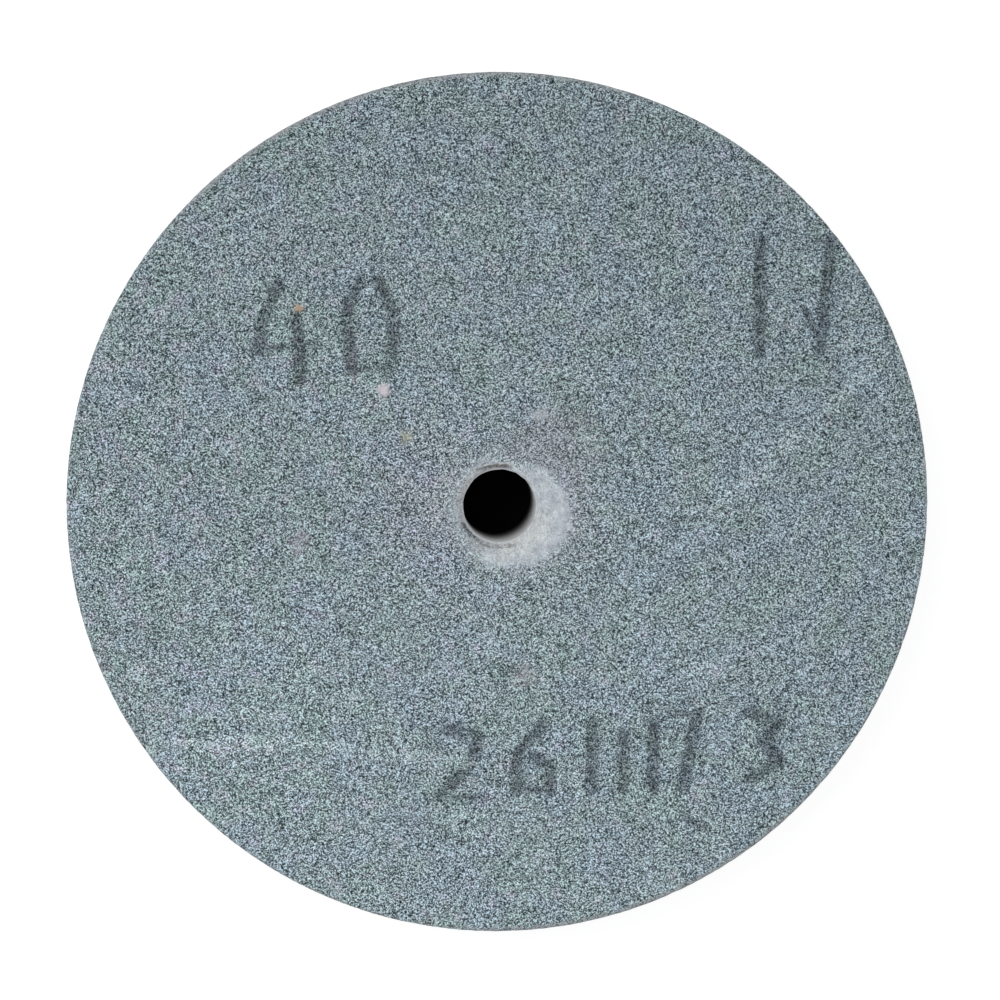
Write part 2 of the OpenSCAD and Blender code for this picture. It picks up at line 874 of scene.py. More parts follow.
@dataclass(frozen=True)
class SetPaste:
    """Pale bush paste, trowelled smooth while wet and chalky when dry.

    Attributes:
        bore_radius: Radius of the bore.
        front: Height of the front face.
        groove_radius: Radius of the stained groove between the lip and the smear.
        crevice_turn: Direction of the crevice in that groove, in degrees.
        groove_wander: How far the groove wanders.
        body: Colour of most of the paste.
        pale: Colour of its pale clouds.
        clouds: Tones from which and up to which the colour turns pale.
        fine_share: How much the fine hollows change those tones.
        brush_share: How much the brush marks change them.
        warm: Colour of the thick paste.
        thick_side: Side on which the paste lies thick.
        thick_reach: Distances from the axis over which it thickens.
        thick_marks: Brush noise over which the warm colour comes in.
        thick_share: How much of the warm colour shows there.
        shade: Colour of the fine hollows.
        hollows: Noise values over which the hollows come in.
        hollow_share: How much of their colour shows.
        cream_and_lip_highlight: Colour of the bore's edge: pale paste and painted highlight on the
            lip.
        lip_highlight_width: Width of that pale edge outside the bore.
        ring_pitch: Turns of the trowel's rings in one millimetre, in radians.
        ring_wander: How far the rings wander.
        ring_crests: Values of their wave over which they come in.
        ring_reach: Distances from the groove over which they come in.
        ring_share: How much the rings show.
        rubbed: Colour of the thin side, where grit has rubbed off on the paste.
        rubbed_side: That side.
        rubbed_patches: Noise values over which that grit comes in.
        rubbed_reach: Distances from the axis over which it comes in.
        rubbed_share: How much of its colour shows.
        tan: Colour of the stain in the groove.
        stained_sides: Sides of the groove that are stained, and how much.
        stain_width: Distances from the groove over which the stain comes in.
        stain_patches: Noise values over which it comes in.
        cracks: Cracks in the paste.
        crack_fraying: How far their edges fray.
        crack_width: Distances from their middle over which they come in.
        pit_and_painted_shade: Colour of the cracks and of the crevice, where it is dark pits and
            painted shade.
        crack_share: How much of it shows in the cracks.
        crevice_shade_share: How much of it shows in the crevice, as painted shade and dark pits.
        crevice_width: Distances from the groove over which the crevice comes in.
        crevice_ends: Cosines of the angle from its middle over which it comes in.
        crevice_patches: Noise values over which it comes in.
        bore_shade: Colour of the painted shade deep in the bore, nearly black.
        bore_shade_depths: Depths below the face over which that painted shade comes in.
        bore_shade_share: How much of it shows at the bottom.
        bore_shade_edge: Distances outside the bore over which it ends.
        fine_height: Height of the fine relief.
        roughness: Roughness of the dry paste.
        roughness_spread: Spread of its roughness.
    """

    bore_radius: float
    front: float
    groove_radius: float
    crevice_turn: float
    groove_wander: float = 0.3
    body: Colour = paint(174, 181, 189)
    pale: Colour = paint(212, 219, 225)
    clouds: Span = (0.3, 0.7)
    fine_share: float = 0.3
    brush_share: float = 0.5
    warm: Colour = paint(222, 224, 220)
    thick_side: Sector = Sector(-50.0, 42.0, 30.0)
    thick_reach: Span = (10.6, 7.8)
    thick_marks: Span = (0.25, 0.6)
    thick_share: float = 0.6
    shade: Colour = paint(140, 148, 154)
    hollows: Span = (0.5, 0.72)
    hollow_share: float = 0.6
    cream_and_lip_highlight: Colour = paint(226, 227, 227)
    lip_highlight_width: float = 0.2
    ring_pitch: float = 17.0
    ring_wander: float = 0.9
    ring_crests: Span = (-0.2, 1.0)
    ring_reach: Span = (1.0, 0.3)
    ring_share: float = 0.45
    rubbed: Colour = paint(146, 144, 146)
    rubbed_side: Sector = Sector(160.0, 88.0, 30.0)
    rubbed_patches: Span = (0.36, 0.66)
    rubbed_reach: Span = (6.5, 6.8)
    rubbed_share: float = 0.7
    tan: Colour = paint(112, 108, 105)
    stained_sides: tuple[tuple[Sector, float], ...] = (
        (Sector(250.0, 45.0, 14.0), 0.6),
        (Sector(94.0, 20.0, 10.0), 1.0),
        (Sector(170.0, 34.0, 20.0), 0.3),
    )
    stain_width: Span = (0.5, 0.2)
    stain_patches: Span = (0.25, 0.55)
    cracks: tuple[Stroke, ...] = (
        Stroke((-4.0, 6.35), (-1.6, 6.95)),
        Stroke((-1.6, 6.95), (1.4, 6.9)),
        Stroke((-3.4, -6.6), (-1.8, -7.1), 0.1),
    )
    crack_fraying: float = 0.35
    crack_width: Span = (0.3, 0.1)
    pit_and_painted_shade: Colour = paint(62, 59, 58)
    crack_share: float = 0.55
    crevice_shade_share: float = 0.8
    crevice_width: Span = (0.4, 0.15)
    crevice_ends: Span = (0.93, 0.985)
    crevice_patches: Span = (0.3, 0.6)
    bore_shade: Colour = (0.012, 0.012, 0.013)
    bore_shade_depths: Span = (2.0, 19.0)
    bore_shade_share: float = 0.97
    bore_shade_edge: Span = (0.5, 0.2)
    fine_height: float = 0.03
    roughness: float = 0.74
    roughness_spread: float = 0.1

    def skin(self, bench: Bench) -> Skin:
        """Mixes the paste's skin.

        Args:
            bench: The bench.

        Returns:
            The skin of the paste, darkened deep in the bore by painted shade.
        """
        bloom = bench.noise(BLOOM)
        colour = self._trowelled(bench)
        colour = self._lipped(bench, colour)
        colour = self._soiled(bench, colour)
        colour = self._cracked(bench, colour)
        # Painted shade: the bore's wall darkens towards black with depth below the front face.
        outer, inner = self.bore_shade_edge
        in_bore = bench.reach.eased(self.bore_radius + outer, self.bore_radius + inner)
        shallow, deep = self.bore_shade_depths
        bore_shaded = bench.z.eased(self.front - shallow, self.front - deep) * in_bore
        colour = bench.layer(colour, self.bore_shade, bore_shaded * self.bore_shade_share)
        relief = bench.noise(FINE).centred() * self.fine_height
        return Skin(colour, relief, bloom.centred() * self.roughness_spread + self.roughness)

    def _trowelled(self, bench: Bench) -> bpy.types.NodeSocket:
        """Mixes the colour of the open paste: its clouds, brush marks and fine hollows.

        Args:
            bench: The bench.

        Returns:
            The colour.
        """
        fine = bench.noise(FINE)
        brushed = bench.noise(BRUSHED)
        tone = bench.noise(BLOOM) + fine.centred() * self.fine_share
        tone = tone + brushed.centred() * self.brush_share
        first, last = self.clouds
        colour = bench.ramp(tone, ((first, self.body), (last, self.pale)))
        thick = self.thick_side.share(bench) * bench.reach.eased(*self.thick_reach)
        thick = thick * brushed.eased(*self.thick_marks)
        colour = bench.layer(colour, self.warm, thick * self.thick_share)
        return bench.layer(colour, self.shade, fine.eased(*self.hollows) * self.hollow_share)

    def _lipped(self, bench: Bench, colour: bpy.types.NodeSocket) -> bpy.types.NodeSocket:
        """Lays the pale edge of the bore, partly a painted highlight on the lip, and the trowel's
        rings round its lip.

        Args:
            bench: The bench.
            colour: Colour of the open paste.

        Returns:
            The colour with the lip's marks on it.
        """
        bloom = bench.noise(BLOOM)
        # Pale paste and painted highlight: the bore's wall and the inner lip are made pale.
        edge = bench.reach.eased(self.bore_radius + self.lip_highlight_width, self.bore_radius)
        colour = bench.layer(colour, self.cream_and_lip_highlight, edge)
        wave = ((bench.reach + bloom.centred() * self.ring_wander) * self.ring_pitch).cosine()
        rings = wave.eased(*self.ring_crests)
        at_lip = abs(bench.reach - self.groove_radius).eased(*self.ring_reach)
        return bench.layer(colour, self.shade, rings * at_lip * self.ring_share)

    def _groove(self, bench: Bench) -> Flow:
        """Distance of the shaded point from the groove, which wanders a little."""
        wander = bench.noise(BLOOM).centred() * self.groove_wander
        return abs(bench.reach - self.groove_radius + wander)

    def _soiled(self, bench: Bench, colour: bpy.types.NodeSocket) -> bpy.types.NodeSocket:
        """Rubs grit into the thin side of the paste and stains parts of the groove.

        Args:
            bench: The bench.
            colour: Colour of the clean paste.

        Returns:
            The soiled colour.
        """
        fine = bench.noise(FINE)
        rubbed = self.rubbed_side.share(bench) * fine.eased(*self.rubbed_patches)
        rubbed = rubbed * bench.reach.eased(*self.rubbed_reach)
        colour = bench.layer(colour, self.rubbed, rubbed * self.rubbed_share)
        dirty: Flow | float = 0.0
        for side, share in self.stained_sides:
            dirty = dirty + side.share(bench) * share
        stained = self._groove(bench).eased(*self.stain_width) * dirty
        stained = stained * fine.eased(*self.stain_patches)
        return bench.layer(colour, self.tan, stained)

    def _cracked(self, bench: Bench, colour: bpy.types.NodeSocket) -> bpy.types.NodeSocket:
        """Darkens the cracks, and the crevice of the groove with dark pits and painted shade.

        Args:
            bench: The bench.
            colour: Colour of the sound paste.

        Returns:
            The cracked colour.
        """
        fine = bench.noise(FINE)
        edge = nearest_stroke(bench, self.cracks) + fine.centred() * self.crack_fraying
        cracked = edge.eased(*self.crack_width)
        colour = bench.layer(colour, self.pit_and_painted_shade, cracked * self.crack_share)
        # Painted shade and dark pits: the crevice in the groove is darkened in patches.
        facing = (bench.turn - math.radians(self.crevice_turn)).cosine()
        deep = self._groove(bench).eased(*self.crevice_width) * facing.eased(*self.crevice_ends)
        deep = deep * fine.eased(*self.crevice_patches)
        return bench.layer(colour, self.pit_and_painted_shade, deep * self.crevice_shade_share)


@dataclass(frozen=True)
class PasteSmear:
    """How the bush's paste lies over the stone: solid by the bore, thin and ragged further out.

    Attributes:
        spill: Outline of the spilled paste.
        front: Height of the front face.
        outer_radius: Radius at which the bush meets the stone.
        wall_reach: Distance from the axis out to which nothing but paste shows.
        wall_fade: Distance over which it gives way to the smear.
        wall_wander: How far the edge of that wall wanders.
        wide_wall: Side on which that wall is wider, and by how much.
        least_cover: How much of the stone the paste hides on its thin side.
        most_cover: How much it hides on its thick side.
        thick_lean: Leans towards the wide side over which it thickens.
        extra_cover: Side on which it hides a little more, and how much.
        bare: Middle of a place that was wiped nearly bare.
        bare_reach: Distances from that place over which it shows.
        bare_share: How much of the paste is gone there.
        fraying: How far the edge frays.
        grain_fraying: How far single grains move the edge.
        pushed_out: Side on which the edge lies further out, and by how much.
        grain_show: How much single grains show through.
        edge_fade: Distances across the edge over which the paste ends.
        film_reach: Distance to which a thin film of paste goes on outside the edge.
        film_share: How much of the stone that film hides.
        most_hidden: Most of the stone that the smear hides.
        film_fraying: How much further the film's edge frays.
        smoothing: How far the paste fills the relief of the stone.
        smooth_edge: Distances across the outline over which it does.
        face_depths: Depths below the face over which the smear comes in.
        wall_depths: Depths below the face over which the bush's wall comes in.
        wall_seam: Distances outside the bush over which its wall ends.
    """

    spill: SpillOutline
    front: float
    outer_radius: float
    wall_reach: float
    wall_fade: float = 0.4
    wall_wander: float = 0.9
    wide_wall: tuple[Sector, float] = (Sector(105.0, 30.0, 30.0), 0.5)
    least_cover: float = 0.46
    most_cover: float = 0.95
    thick_lean: Span = (0.3, 0.85)
    extra_cover: tuple[Sector, float] = (Sector(150.0, 50.0, 40.0), 0.14)
    bare: Point = (1.4, 8.7)
    bare_reach: Span = (3.4, 1.2)
    bare_share: float = 0.35
    fraying: float = 3.4
    grain_fraying: float = 1.1
    pushed_out: tuple[Sector, float] = (Sector(-8.0, 26.0, 20.0), 0.6)
    grain_show: float = 0.5
    edge_fade: Span = (0.7, -0.7)
    film_reach: float = 4.5
    film_share: float = 0.4
    most_hidden: float = 0.97
    film_fraying: float = 3.0
    smoothing: float = 0.8
    smooth_edge: Span = (0.4, -0.4)
    face_depths: Span = (0.9, 0.5)
    wall_depths: Span = (0.6, 0.9)
    wall_seam: Span = (0.2, -0.1)

    def lay(self, bench: Bench, stone: Skin, paste: Skin, grain: Flow) -> Skin:
        """Lays the paste over a stone skin, out to its ragged edge on the front face.

        Args:
            bench: The bench.
            stone: Skin of the bare stone.
            paste: Skin of the paste.
            grain: Random value of each grain, some of which show through thin paste.

        Returns:
            Skin of stone and paste together.
        """
        depth = self.front - bench.z
        on_front = depth.eased(*self.face_depths)
        in_bush = (bench.reach - self.outer_radius).eased(*self.wall_seam)
        below = depth.eased(*self.wall_depths) * in_bush
        outside = self.spill.across(bench)
        smeared = self._cover(bench, outside, grain) * on_front
        share = smeared.most(self._in_wall(bench)).most(below)
        filled = outside.eased(*self.smooth_edge).most(below) * self.smoothing
        return Skin(
            colour=bench.layer(stone.colour, paste.colour, share),
            relief=bench.mixed(stone.relief, paste.relief, filled),
            roughness=bench.mixed(stone.roughness, paste.roughness, share),
        )

    def _in_wall(self, bench: Bench) -> Flow:
        """Tells whether the shaded point lies on the bush's own wall.

        Args:
            bench: The bench.

        Returns:
            1 on the wall and 0 outside it.
        """
        side, extra = self.wide_wall
        wander = bench.noise(BLOOM).centred() * self.wall_wander
        worn = bench.reach + wander - side.share(bench) * extra
        return worn.eased(self.wall_reach + self.wall_fade, self.wall_reach)

    def _cover(self, bench: Bench, outside: Flow, grain: Flow) -> Flow:
        """Works out how much of the stone the smear hides on the front face.

        Args:
            bench: The bench.
            outside: Distance of the shaded point outside the spill's outline.
            grain: Random value of each grain.

        Returns:
            The hidden share.
        """
        ragged = bench.noise(FRAYED)
        side, push = self.pushed_out
        edge = outside + ragged.centred() * self.fraying + grain.centred() * self.grain_fraying
        edge = edge - side.share(bench) * push
        thick = self.spill.lean(bench).eased(*self.thick_lean)
        cover = bench.mixed(self.least_cover, self.most_cover, thick)
        cover = cover - bench.away_from(self.bare).eased(*self.bare_reach) * self.bare_share
        side, extra = self.extra_cover
        cover = cover + side.share(bench) * extra + grain.centred() * self.grain_show
        solid = cover.most(0.0).least(self.most_hidden) * edge.eased(*self.edge_fade)
        thin = (edge + ragged.centred() * self.film_fraying).eased(self.film_reach, 0.0)
        return solid.most(thin * grain * self.film_share)


@dataclass(frozen=True)
class FrontFace:
    """What wear, ink and dust have left on the marked face of the stone, with some painted light.

    Attributes:
        rim_radius: Outside radius of the wheel.
        front: Height of the front face.
        mark_depths: Depths below the face over which its marks come in.
        halo: Tint of the oiled stone round the bore.
        halo_reach: Distances from the axis over which the halo comes in.
        halo_wander: How far its edge wanders.
        halo_shift: How much further it goes to the left, as a share.
        halo_least: How much of it shows above and below the bore, beside its sides.
        film: Colour of the paste's film above the bore.
        film_centre: Middle of that film.
        film_reach: Distances from there over which it comes in.
        film_wander: How far its edge wanders.
        film_share: How much of it shows.
        ink: Tint of the ink.
        pen_half_width: Half the width of an ink stroke.
        pen_softness: How far its edge fades each way.
        pen_fraying: How far its edge frays.
        ink_raggedness: Share of the finer noise in the fading of the ink.
        ink_fading: Values of that noise over which more ink is left.
        ink_least: How much ink is left where it has faded most.
        figures: The figures of the plain numbers.
        smears: Strokes where ink was dragged.
        scuffs: Strokes along which something has scraped.
        scuff_half_width: Half the width of a scuff.
        scuff_softness: How far outside and inside that width its edge fades.
        scuff_fraying: How far its edge frays.
        scuff_fading: Noise values over which more of it shows.
        scuff_least: How much of it shows where it is faintest.
        bared: Tint of the bared grain in a scuff.
        chalk: Colour of the split grains in it.
        split: Random values from which a coarse grain is split.
        split_fading: How much fewer are split per millimetre from its middle.
        split_share: How much of the chalk shows on it.
        spots: Stains, flecks and two broad changes of brightness; the one that brightens the lower
            left is painted light.
        dust_and_painted_light: Colour of the dust in the worn edge, made paler to offset the shade
            of the rounded edge: dust and painted light.
        dust_width: Distances from the rim over which that dust comes in.
        dust_fraying: How far its edge frays.
        dust_depths: Depths below the face over which it comes in.
        dust_patches: Noise values over which it comes in.
        dust_most: Most of the stone that it hides.
        dust_everywhere: How much of it lies all round.
        dusty_sides: Sides on which much of it lies.
        dusty_grains: Random values over which a grain holds the dust.
        dust_least: How much of it shows on a grain that doesn't.
        dust_spread: How much more shows on one that does.
    """

    rim_radius: float
    front: float
    mark_depths: Span = (0.6, 0.3)
    halo: Colour = (1.09, 0.99, 1.03)
    halo_reach: Span = (25.0, 12.0)
    halo_wander: float = 26.0
    halo_shift: float = 0.12
    halo_least: float = 0.2
    film: Colour = paint(172, 170, 178)
    film_centre: Point = (9.5, 10.5)
    film_reach: Span = (12.0, 3.0)
    film_wander: float = 14.0
    film_share: float = 0.38
    ink: Colour = (0.362, 0.368, 0.386)
    pen_half_width: float = 1.15
    pen_softness: float = 0.55
    pen_fraying: float = 1.3
    ink_raggedness: float = 0.6
    ink_fading: Span = (0.3, 0.62)
    ink_least: float = 0.4
    figures: tuple[InkedFigure, ...] = (
        InkedFigure("4", (-37.0, 30.2), 10.4, 16.4),
        InkedFigure("0", (-22.5, 31.0), 10.2, 16.0),
        InkedFigure("1", (45.2, 36.2), 9.0, 19.5),
        InkedFigure("7", (56.2, 36.6), 3.4, 19.0),
        InkedFigure("2", (-6.9, -44.8), 8.6, 13.4),
        InkedFigure("6", (5.8, -44.6), 8.4, 12.6),
        InkedFigure("1", (16.2, -44.0), 5.0, 11.8),
        InkedFigure("1", (21.6, -44.8), 5.0, 9.0),
        InkedFigure("1", (26.9, -43.9), 5.0, 11.4),
        InkedFigure("7", (32.6, -43.0), 5.0, 13.0),
        InkedFigure("3", (45.8, -42.2), 8.8, 11.6),
    )
    smears: tuple[Stroke, ...] = (
        Stroke((53.2, 33.6), (55.9, 28.6), 0.35),
        Stroke((33.0, -55.4), (36.2, -56.8), 0.6),
    )
    scuffs: tuple[Stroke, ...] = (
        Stroke((64.5, 24.0), (60.5, 20.2)),
        Stroke((60.5, 20.2), (51.4, 11.8), 0.4),
        Stroke((51.4, 11.8), (42.2, 3.3), -0.35),
        Stroke((42.2, 3.3), (38.0, -1.0), -0.15),
        Stroke((-61.6, -41.9), (-48.4, -41.3), -0.25),
        Stroke((-48.4, -41.3), (-33.0, -41.6), 0.1),
        Stroke((-33.0, -41.6), (-24.5, -42.6), -0.1),
        Stroke((-24.5, -42.6), (-4.8, -45.3), 0.05),
        Stroke((33.6, -28.5), (36.4, -28.3), -0.1),
    )
    scuff_half_width: float = 0.9
    scuff_softness: Span = (0.7, -0.2)
    scuff_fraying: float = 2.2
    scuff_fading: Span = (0.74, 1.0)
    scuff_least: float = 0.4
    bared: Colour = (1.12, 1.12, 1.11)
    chalk: Colour = paint(224, 238, 241)
    split: Span = (0.66, 0.78)
    split_fading: float = 0.15
    split_share: float = 0.45
    spots: tuple[Spot, ...] = (
        Spot((-20.1, 20.1), 1.9, paint(214, 206, 214), 0.95),
        Spot((-34.7, 34.3), 1.3, paint(186, 158, 128), 0.85),
        # Painted light: brightens a broad area at the lower left, with the face's painted
        # brightness gradient.
        Spot((-41.0, -34.0), 25.0, (1.085, 1.085, 1.085), 1.0, Blend.TINT),
        Spot((-29.6, 1.0), 18.0, (0.95, 0.95, 0.95), 1.0, Blend.TINT),
        Spot((-16.5, 12.0), 1.8, paint(182, 184, 160), 0.5),
        Spot((4.4, -29.6), 3.0, paint(158, 148, 158), 0.5),
        Spot((-34.8, -5.9), 2.8, paint(158, 148, 158), 0.45),
        Spot((7.0, 15.9), 2.2, paint(190, 194, 200), 0.5),
        Spot((17.5, -10.7), 1.1, paint(74, 86, 92), 0.7),
        Spot((59.5, -20.4), 1.1, paint(74, 86, 92), 0.7),
        Spot((60.5, 13.9), 1.0, paint(74, 86, 92), 0.7),
        Spot((-52.3, -39.9), 1.2, paint(74, 86, 92), 0.6),
    )
    dust_and_painted_light: Colour = paint(165, 171, 175)
    dust_width: Span = (1.1, 0.5)
    dust_fraying: float = 1.3
    dust_depths: Span = (1.3, 0.7)
    dust_patches: Span = (0.2, 0.55)
    dust_most: float = 0.95
    dust_everywhere: float = 0.25
    dusty_sides: tuple[Sector, ...] = (Sector(-68.0, 21.0, 24.0), Sector(106.0, 26.0, 24.0))
    dusty_grains: Span = (0.1, 0.6)
    dust_least: float = 0.2
    dust_spread: float = 0.75

    def lay(self, bench: Bench, skin: Skin, grit: FiredGrit) -> Skin:
        """Lays the marks of the front face over the stone's skin.

        Args:
            bench: The bench.
            skin: Skin of the clean stone.
            grit: Finish of the stone, whose grains break up the marks.

        Returns:
            The marked skin.
        """
        on_front = (self.front - bench.z).eased(*self.mark_depths)
        ragged = bench.noise(FRAYED)
        grain = bench.grains(grit.grains_per_mm)
        colour = self._lay_halo(bench, skin.colour, grain, on_front)
        colour = self._lay_ink(bench, colour, on_front)
        colour = self._lay_scuffs(bench, colour, bench.grains(grit.specks_per_mm), on_front)
        for spot in self.spots:
            colour = spot.lay(bench, colour, ragged)
        return skin.recoloured(self._lay_dusty_edge(bench, colour, grain))

    def _lay_halo(
        self, bench: Bench, colour: bpy.types.NodeSocket, grain: Flow, on_front: Flow
    ) -> bpy.types.NodeSocket:
        """Tints the stone round the bore and leaves a thin film of paste above it.

        Args:
            bench: The bench.
            colour: Colour of the stone.
            grain: Random value of each grain, which breaks up the film.
            on_front: 1 on the front face and 0 elsewhere.

        Returns:
            The tinted colour.
        """
        clump = bench.noise(CLUMPS)
        sideways = abs(bench.turn.cosine()) * (1 - self.halo_least) + self.halo_least
        wandering = bench.reach + bench.x * self.halo_shift + clump.centred() * self.halo_wander
        near = wandering.eased(*self.halo_reach) * sideways
        colour = bench.layer(colour, self.halo, near * on_front, Blend.TINT)
        flare = bench.away_from(self.film_centre) + clump.centred() * self.film_wander
        filmed = flare.eased(*self.film_reach) * grain * on_front
        return bench.layer(colour, self.film, filmed * self.film_share)

    def _lay_ink(
        self, bench: Bench, colour: bpy.types.NodeSocket, on_front: Flow
    ) -> bpy.types.NodeSocket:
        """Stains the stone with the faded numbers, darker in some places than in others.

        Args:
            bench: The bench.
            colour: Colour of the stone.
            on_front: 1 on the front face and 0 elsewhere.

        Returns:
            The stained colour.
        """
        ragged = bench.noise(FRAYED)
        drawn = [stroke for figure in self.figures for stroke in figure.strokes()]
        edge = nearest_stroke(bench, (*drawn, *self.smears)) + ragged.centred() * self.pen_fraying
        outer = self.pen_half_width + self.pen_softness
        inner = self.pen_half_width - self.pen_softness
        worn = ragged * self.ink_raggedness + bench.noise(CLUMPS) * (1 - self.ink_raggedness)
        kept = worn.eased(*self.ink_fading) * (1 - self.ink_least) + self.ink_least
        inked = edge.eased(outer, inner) * kept * on_front
        return bench.layer(colour, self.ink, inked, Blend.TINT)

    def _lay_scuffs(
        self, bench: Bench, colour: bpy.types.NodeSocket, speck: Flow, on_front: Flow
    ) -> bpy.types.NodeSocket:
        """Bares the grain along each scuff and splits some of its coarse grains.

        Args:
            bench: The bench.
            colour: Colour of the stone.
            speck: Random value of each coarse grain.
            on_front: 1 on the front face and 0 elsewhere.

        Returns:
            The scuffed colour.
        """
        ragged = bench.noise(FRAYED)
        edge = nearest_stroke(bench, self.scuffs) + ragged.centred() * self.scuff_fraying
        kept = (bench.noise(CLUMPS) + ragged).eased(*self.scuff_fading)
        kept = kept * (1 - self.scuff_least) + self.scuff_least
        scratched = (edge - self.scuff_half_width).eased(*self.scuff_softness) * kept * on_front
        colour = bench.layer(colour, self.bared, scratched, Blend.TINT)
        split = (speck - edge * self.split_fading).eased(*self.split)
        return bench.layer(colour, self.chalk, scratched * split * self.split_share)

    def _lay_dusty_edge(
        self, bench: Bench, colour: bpy.types.NodeSocket, grain: Flow
    ) -> bpy.types.NodeSocket:
        """Fills the worn front edge with pale dust, most at the lower right and the top; its
        colour is made paler to offset the edge's shade, which is painted light.

        Args:
            bench: The bench.
            colour: Colour of the marked face.
            grain: Random value of each grain, some of which the dust leaves clear.

        Returns:
            The dusted colour.
        """
        ragged = bench.noise(FRAYED)
        inward = self.rim_radius - bench.reach - ragged.centred() * self.dust_fraying
        level = (self.front - bench.z).eased(*self.dust_depths)
        lying: Flow | float = self.dust_everywhere
        for side in self.dusty_sides:
            lying = lying + side.share(bench)
        lying = inward.eased(*self.dust_width) * level * lying
        share = (lying * ragged.eased(*self.dust_patches)).least(self.dust_most)
        held = grain.eased(*self.dusty_grains) * self.dust_spread + self.dust_least
        # Dust and painted light: the pale colour also offsets the shade that the rounded edge
        # takes.
        return bench.layer(colour, self.dust_and_painted_light, share * held)


def clear_selection() -> None:
    """Deselects every object, in object mode."""
    if bpy.context.object and bpy.context.object.mode != "OBJECT":
        bpy.ops.object.mode_set(mode="OBJECT")
    bpy.ops.object.select_all(action="DESELECT")


def smooth(piece: bpy.types.Object) -> None:
    """Shades a piece smooth, apart from its sharp corners.

    Args:
        piece: The piece.
    """
    clear_selection()
    piece.select_set(True)
    bpy.ops.object.shade_smooth_by_angle(angle=SMOOTH_LIMIT)


def spin_section(name: str, section: list[Point], steps: int) -> bpy.types.Object:
    """Draws a closed half section point by point and spins it round the bore's axis.

    Args:
        name: Name of the new piece.
        section: Radius and height of each corner, in millimetres, in order round the section.
        steps: Steps in the full turn.

    Returns:
        The spun piece, closed and with its faces outwards.
    """
    clear_selection()
    bpy.ops.mesh.primitive_plane_add(size=MM)
    piece = bpy.context.object
    piece.name = name
    piece.data.name = name
    bpy.ops.object.mode_set(mode="EDIT")
    bpy.ops.mesh.select_all(action="SELECT")
    bpy.ops.mesh.merge(type="CENTER")
    radius, height = section[0]
    bpy.ops.transform.translate(value=(radius * MM, 0.0, height * MM))
    for here, there in zip(section, section[1:] + section[:1]):
        step = ((there[0] - here[0]) * MM, 0.0, (there[1] - here[1]) * MM)
        bpy.ops.mesh.extrude_vertices_move(TRANSFORM_OT_translate={"value": step})
    bpy.ops.mesh.select_all(action="SELECT")
    bpy.ops.mesh.remove_doubles(threshold=MERGE_LIMIT)
    bpy.ops.mesh.spin(steps=steps, angle=FULL_TURN, center=(0, 0, 0), axis=(0, 0, 1))
    bpy.ops.mesh.select_all(action="SELECT")
    bpy.ops.mesh.remove_doubles(threshold=SEAM_LIMIT)
    bpy.ops.mesh.normals_make_consistent(inside=False)
    bpy.ops.mesh.select_all(action="DESELECT")
    bpy.ops.object.mode_set(mode="OBJECT")
    return piece


def arc(centre: Point, radius: float, start: float, end: float, steps: int) -> list[Point]:
    """Points along an arc of a section.

    Args:
        centre: Centre of the arc.
        radius: Radius of the arc.
        start: First angle in degrees.
        end: Last angle in degrees.
        steps: Straight pieces along it.

    Returns:
        The points, both ends included.
    """
    angles = (math.radians(start + (end - start) * step / steps) for step in range(steps + 1))
    return [(centre[0] + radius * math.cos(a), centre[1] + radius * math.sin(a)) for a in angles]


def graded(start: float, end: float, first: float, growth: float) -> list[float]:
    """Stations from start towards end whose spacing grows from the first one.

    Args:
        start: Where the row starts; not itself in the row.
        end: Where it stops; not itself in the row.
        first: First spacing.
        growth: Factor from each spacing to the next.

    Returns:
        The stations between the two ends.
    """
    way = 1 if end > start else -1
    least_room = 1.5
    place = start
    spacing = first
    row: list[float] = []
    while abs(end - place) > spacing * least_room:
        place += way * spacing
        spacing *= growth
        row.append(place)
    return row


